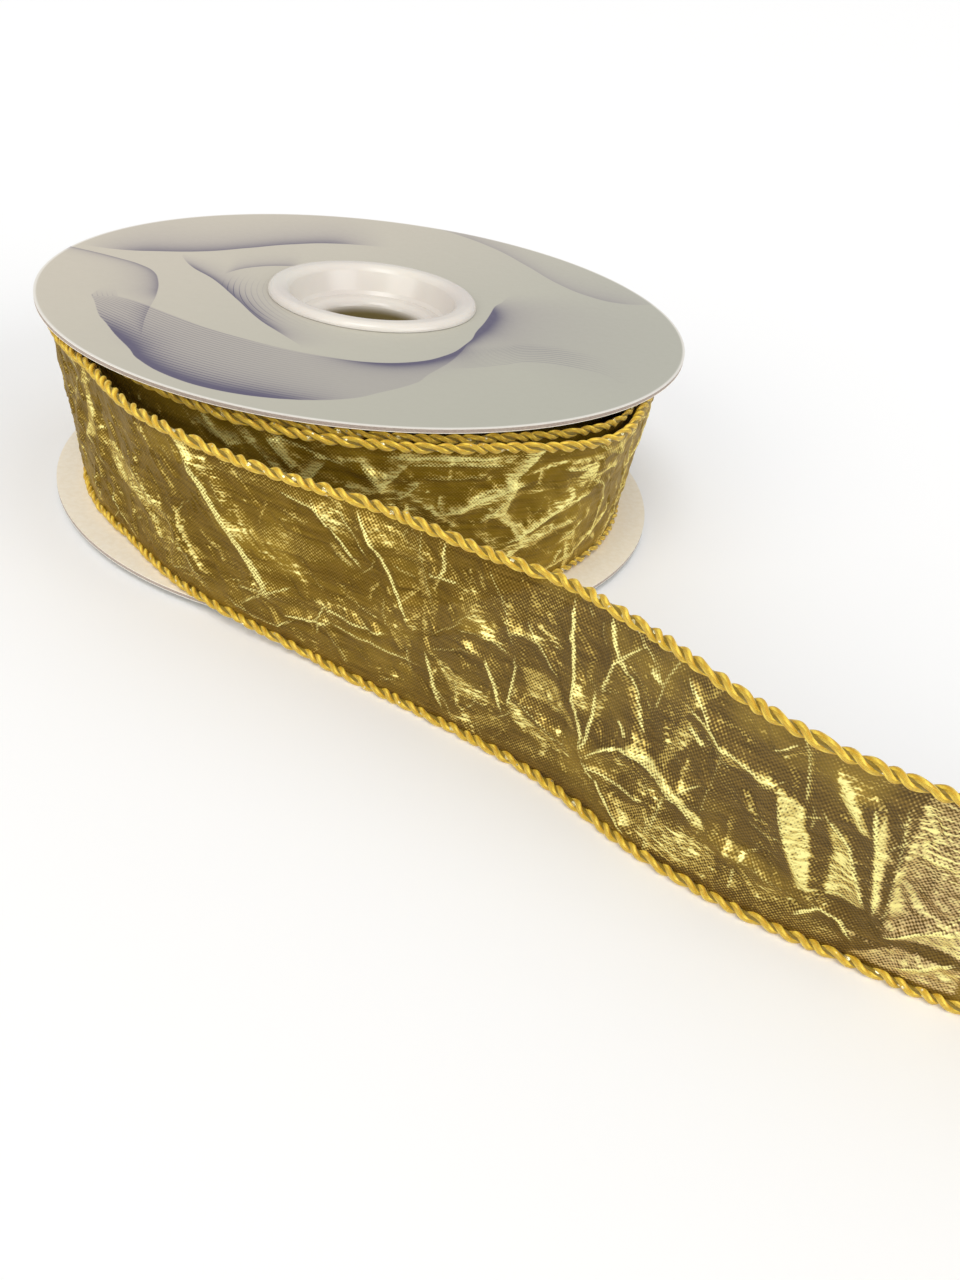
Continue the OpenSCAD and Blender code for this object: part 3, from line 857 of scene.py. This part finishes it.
    # paper tone with painted shade across the disc: darker and greyer towards the front and right
    paper_tone_and_shade = m.mix((x * 0.006 + y * -0.004 + 0.5).within(0, 1), srgb(204, 195, 178), srgb(178, 177, 163))
    mottled = m.mix(m.noise(p, 0.35, 4) * 0.12, paper_tone_and_shade, srgb(166, 167, 152))
    cut_edge = r.within(RIM_R - 0.7, RIM_R - 0.25)
    mottled = m.mix(cut_edge * 0.8, mottled, srgb(236, 232, 224))
    tint = m.mix(ink.within(0.25, 0.95), srgb(140, 130, 138), srgb(62, 54, 94))
    m.set(Base_Color=m.mix((ink * 0.9).math("POWER", 0.85), mottled, tint))
    m.set(Roughness=m.noise(p, 0.9, 3) * 0.16 + 0.3, IOR=1.5)
    m.bump(m.noise(p, 1.1, 3, 0.6) * 0.6 + m.noise(p, 0.12, 2) * 1.2, 0.1)
    return m.material


WOUND_DARK = srgb(98, 76, 0)
WOUND_MID = srgb(130, 104, 12)


def web_material(name, clear, dark_tone, mid_tone, far_tone):
    """Crushed lame: brown and olive threads, with painted highlights in pale gold along the creases and on
    facets that would catch the light.

    It starts in the roll's tones at the seam, and goes over to far_tone further out along the free end.
    """
    m = Shader(name)
    uv, s, t = m.along_up()
    warp = (t * (2 * pi / 0.66)).math("SINE")
    weft = (s * (2 * pi / 0.6)).math("SINE")
    weave = warp * weft * 0.5 + 0.5
    slub = m.noise(m.stretch(uv, (0.22, 2.4, 1)), 1.0, 3, 0.6)
    streak = m.noise(m.stretch(uv, (0.06, 0.7, 1)), 1.0, 3, 0.6)
    patch = m.noise(m.stretch(uv, (0.1, 0.14, 1)), 1.0, 3, 0.55)
    grain = m.noise(m.stretch(uv, (1.5, 1.7, 1)), 1.0, 2, 0.7)
    fleck = m.noise(m.stretch(uv, (0.5, 2.2, 1)), 1.0, 2, 0.6)
    glint = weave * 0.7 + grain * 0.9 - 0.3
    faint = patch.within(0.4, 0.7) * fleck.within(0.42, 0.7) * 0.72
    # painted highlights: film, lit, line and shine mark where pale gold is painted on, from the mesh's lit
    # facets and crease lines, random flecks and the weave's dots
    film = m.attribute("painted_film_highlight") * (fleck * 1.2 + 0.4) + faint
    lit = (film * 1.1 + glint * 1.1 - 0.95).within(0.0, 0.7)
    line = (m.attribute("painted_crease_highlight") * (glint * 1.2 + 0.35)).within(0.3, 0.85)
    shine = lit.math("MAXIMUM", line)
    wound = m.mix(streak.within(0.35, 0.65), WOUND_DARK, WOUND_MID)
    dark = m.mix(streak.within(0.35, 0.65), dark_tone, mid_tone)
    dark = m.mix(s.within(S_SEAM, S_SEAM + 45), wound, dark)
    dark = m.mix(s.within(45, 115) * 0.85, dark, far_tone)
    thread = m.mix(weave * 0.55 + slub.within(0.4, 0.7) * 0.3 - 0.12, dark, srgb(150, 119, 52))
    glow = m.noise(m.stretch(uv, (0.05, 0.07, 1)), 1.0, 2)
    thread = m.mix(glow.within(0.5, 0.72) * 0.45, thread, srgb(172, 142, 50))
    # colours of the painted highlights, pinker near the far end
    soft_gold = m.mix(s.within(143, 158) * 0.7, srgb(204, 176, 92), srgb(208, 178, 138))
    gold = m.mix(line.math("MAXIMUM", film.within(0.6, 1.3)), soft_gold, srgb(255, 246, 162))
    m.set(Base_Color=m.mix(shine, thread, gold))
    m.set(Metallic=shine * 0.3 + 0.4)
    m.set(Roughness=slub * 0.16 + 0.28)
    m.set(Specular_IOR_Level=0.15, Specular_Tint=(1.0, 0.82, 0.42, 1))
    m.bump(weave * 0.5 + slub * 0.8, 0.6, 0.00015)
    sheer = (shine * -1.0 + 1.0) * (weave * -0.3 + slub * 0.4 + 0.9) * clear
    see = m.node("ShaderNodeBsdfTransparent", {"Color": (0.95, 0.86, 0.62, 1)})
    blend = m.node("ShaderNodeMixShader", {0: sheer, 1: m.body.outputs[0], 2: see.outputs[0]})
    m.tree.links.new(blend.outputs[0], m.output.inputs["Surface"])
    return m.material


def rope_material():
    """Bulky yellow-gold thread with its own fine plies, a darker core, and specks of metal film."""
    m = Shader("edge_thread")
    s, v = m.along_up()[1:]
    p = m.place()[0]
    core = v.within(2.0, 3.0)
    plies = ((v * 3 - s * 0.55) * (2 * pi)).math("SINE")
    fuzz = m.noise(p, 5.0, 3, 0.7)
    tone = m.noise(p, 0.5, 3)
    colour = m.mix((plies * 0.24 + fuzz * 0.9).within(0.1, 0.9), srgb(198, 148, 0), srgb(255, 224, 84))
    colour = m.mix(tone.within(0.4, 0.7) * 0.35, colour, srgb(222, 178, 24))
    colour = m.mix(core, colour, srgb(134, 108, 4))
    speck = m.node("ShaderNodeTexVoronoi", {"Vector": p, "Scale": 0.55}, feature="F1")
    size = core * 0.14 + 0.14
    near = (size - Field(m.tree, speck.outputs["Distance"])).within(0.0, 0.06)
    m.set(Base_Color=m.mix(near, colour, srgb(255, 246, 196)), Metallic=near * 0.8)
    m.set(Roughness=near * -0.3 + 0.5)
    m.set(Sheen_Weight=0.3, Sheen_Roughness=0.5, Sheen_Tint=(1.0, 0.9, 0.5, 1))
    m.bump(plies * 0.6 + fuzz * 0.6, 0.7, 0.00015)
    return m.material


# ---------- The object ----------


def paint(obj, material):
    if obj.data.materials:
        for i in range(len(obj.data.materials)):
            obj.data.materials[i] = material
    else:
        obj.data.materials.append(material)


def dress_cad_nodes():
    looks = {
        hub_material(): ["upper_hub", "lower_hub"],
        board_material(): ["upper_flange_board", "lower_flange_board"],
        liner_material(): ["upper_flange_liner", "lower_flange_liner"],
        facing_material(): ["upper_flange_facing", "lower_flange_facing"],
        core_material(): ["core_tube"],
        tape_material(): ["core_tape"],
    }
    for material, names in looks.items():
        for name in names:
            paint(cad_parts[name], material)


def edge_lines(s, free_end):
    """Centre lines of the lower and upper edge ropes, which follow the cloth."""
    t = np.array([ROPE_R, RIBBON_W - ROPE_R])
    points = surface(s, t, free_end)[0]
    up, out = ribbon.at(s)[1:]
    return points[:, 0], points[:, 1], up, out


def finish_piece(piece, material, nodes, body="reel", bend=False):
    """Material, slot, motion and CAD nodes of a piece; a bending piece has its transform baked into its mesh
    and joins no body.
    """
    paint(piece, material)
    if bend:
        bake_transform(piece)
    else:
        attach(piece, body)
    if nodes:
        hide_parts(*nodes)


def make_free_end(web, rope, wire):
    s = np.arange(S_SEAM, S_END, FREE_STEP)
    t = np.linspace(WEB_TUCK, RIBBON_W - WEB_TUCK, 100)
    points, line, film = surface(s, t, free_end=True)
    cloth = cloth_object("free_end_cloth", s, t, points, line, film)
    finish_piece(cloth, web, ["tail_web"], bend=True)
    s = np.arange(S_SEAM, S_END, FREE_EDGE_STEP)
    low, high, up, out = edge_lines(s, free_end=True)
    for side, centre in (("lower", low), ("upper", high)):
        edge = rope_object(f"free_end_{side}_edge", s, centre, up, out)
        finish_piece(edge, rope, [f"tail_{side}_binding"], bend=True)
    for side, centre in (("lower", low), ("upper", high)):
        along = centre[-1] - centre[-4]
        along /= np.linalg.norm(along)
        stub = centre[-1] + np.outer(np.linspace(0.4, 2.4, 6), along)
        path = np.vstack([centre[::3], stub])
        wide = [np.vstack([a[::3], np.repeat(a[-1:], 6, axis=0)]) for a in (up, out)]
        bare = wire_object(f"free_end_{side}_wire", path, *wide)
        finish_piece(bare, wire, [f"tail_{side}_wire"], bend=True)
    flat = (RIBBON_W * MM, (S_END - S_SEAM) * MM)


def make_outer_turns(web, rope, wire):
    coarse = np.arange(S_DETAIL, S_FINE, OUTER_COARSE_STEP)
    s = np.concatenate([coarse, np.arange(S_FINE, S_SEAM + 0.5, OUTER_STEP)])
    t = np.linspace(WEB_TUCK, RIBBON_W - WEB_TUCK, 88)
    points, line, film = surface(s, t)
    cloth = cloth_object("outer_turns_cloth", s, t, points, line, film)
    finish_piece(cloth, web, ["loose_turn_web"])
    s = np.arange(S_DETAIL, S_SEAM + 0.3, OUTER_EDGE_STEP)
    low, high, up, out = edge_lines(s, free_end=False)
    snug = np.interp(-s / (2 * pi * PEEL_R), [SEAM_TURN, 0.3, 0.95, 1.15], [1, 0.9, 0.9, 0.6])
    with_pieces = []
    for side, centre in (("lower", low), ("upper", high)):
        edge = rope_object(f"outer_turns_{side}_edge", s, centre, up, out, flatten=snug)
        finish_piece(edge, rope, [f"loose_turn_{side}_binding"])
        bare = wire_object(f"outer_turns_{side}_wire", centre[::4], up[::4], out[::4])
        finish_piece(bare, wire, [f"loose_turn_{side}_wire"])
        with_pieces += [edge, bare]
    flat = (RIBBON_W * MM, (S_SEAM - S_DETAIL) * MM)


def make_wound_turns(web, rope):
    inner = (PEEL_R - LOOSE_GAIN - CORE_R - FIRST_TURN_ROOM) / TURN_PITCH + LOOSE_TURN
    stations = wound_route(np.arange(inner, DETAIL_TURN, -1 / 120))
    roll = Path(stations)
    t = np.linspace(WEB_TUCK, RIBBON_W - WEB_TUCK, 5)
    points = roll.base[:, None] + roll.up[:, None] * t[None, :, None]
    line = np.zeros(points.shape[:2])
    cloth = cloth_object("wound_turns_cloth", roll.s, t, points, line, line)
    finish_piece(cloth, web, ["wound_web"])
    s = np.arange(0, roll.s[-1], ROLL_EDGE_STEP)
    base, up, out = roll.at(s)
    for side, height in (("lower", ROPE_R), ("upper", RIBBON_W - ROPE_R)):
        centre = base + up * height
        edge = rope_object(f"wound_turns_{side}_edge", s, centre, up, out, flatten=0.55, sides=5)
        finish_piece(edge, rope, [f"wound_{side}_binding"])
    flat = (RIBBON_W * MM, roll.s[-1] * MM)


def make_cut_end(web):
    """Loose threads along the cut."""
    base, up, out = (a[0] for a in ribbon.at(np.array([S_END])))
    along = np.cross(up, out)
    before = ribbon.at(np.array([S_END - 1.0]))[0][0]
    if np.dot(along, base - before) < 0:
        along = -along
    wide = np.repeat([out], THREAD_RINGS, 0)
    high = np.repeat([up], THREAD_RINGS, 0)
    each = THREAD_RINGS * THREAD_SIDES
    vertices, faces = [], []
    for t in np.linspace(2, RIBBON_W - 2, CUT_THREADS) + rng.uniform(-0.6, 0.6, CUT_THREADS):
        reach = rng.uniform(0.3, 1.9)
        bend = rng.uniform(-0.6, 0.6)
        steps = np.linspace(-0.3, 1, THREAD_RINGS)[:, None]
        sway = out * rng.uniform(-0.4, 0.4) * steps**2
        centre = base + up * (t + bend * steps**2) + along * reach * steps + sway
        rings = strand_mesh(centre, THREAD_R, THREAD_R, wide, high, THREAD_SIDES)
        faces += tube_faces(THREAD_RINGS, THREAD_SIDES, len(vertices) * each)
        vertices.append(rings.reshape(-1, 3))
    count = len(vertices) * each
    # the threads carry a fixed painted highlight, so they show pale gold
    bright = {"painted_crease_highlight": np.full(count, 0.5), "painted_film_highlight": np.full(count, 0.9)}
    spots = np.full((count, 2), THREAD_SPOT)
    threads = new_object("cut_end_threads", np.vstack(vertices), faces, spots, bright)
    finish_piece(threads, web, [], "tail")


# ---------- Floor and light ----------


def make_floor():
    half = 60000
    verts = [(-half, -half, 0), (half, -half, 0), (half, half, 0), (-half, half, 0)]
    floor = new_object("floor", verts, [(0, 1, 2, 3)], smooth=False)
    m = Shader("floor_white")
    m.set(Base_Color=(0.95, 0.95, 0.95, 1), Roughness=0.9)
    floor.data.materials.append(m.material)


def sun(name, towards, spread, strength, colour=(1, 1, 1)):
    """Even light from a soft source far away, in the direction given."""
    data = bpy.data.lights.new(name, "SUN")
    data.angle = radians(spread)
    data.energy = strength
    data.color = colour
    lamp = bpy.data.objects.new(name, data)
    bpy.context.scene.collection.objects.link(lamp)
    lamp.rotation_euler = Vector(towards).to_track_quat("Z", "Y").to_euler()


def make_lights():
    world = bpy.data.worlds.new("soft_room")
    world.use_nodes = True
    background = world.node_tree.nodes["Background"]
    background.inputs["Color"].default_value = (1, 1, 1, 1)
    background.inputs["Strength"].default_value = 0.55
    bpy.context.scene.world = world
    sun("overhead", (-0.15, -0.45, 0.88), 30, 1.0)
    sun("front_left", (-0.7, -0.75, 0.4), 40, 1.0, (1, 0.98, 0.94))
    sun("front_right", (0.8, -0.7, 0.45), 40, 1.1)
    bpy.context.scene.view_settings.view_transform = "Standard"


make_camera()
dress_cad_nodes()
sheer_web = web_material("free_end_lame", 0.04, srgb(84, 62, 4), srgb(112, 88, 20), srgb(60, 40, 8))
roll_web = web_material("roll_lame", 0.03, WOUND_DARK, WOUND_MID, srgb(110, 86, 4))
edge_rope = rope_material()
steel = wire_material()
make_free_end(sheer_web, edge_rope, steel)
make_outer_turns(roll_web, edge_rope, steel)
make_wound_turns(roll_web, edge_rope)
make_cut_end(sheer_web)
make_floor()
make_lights()
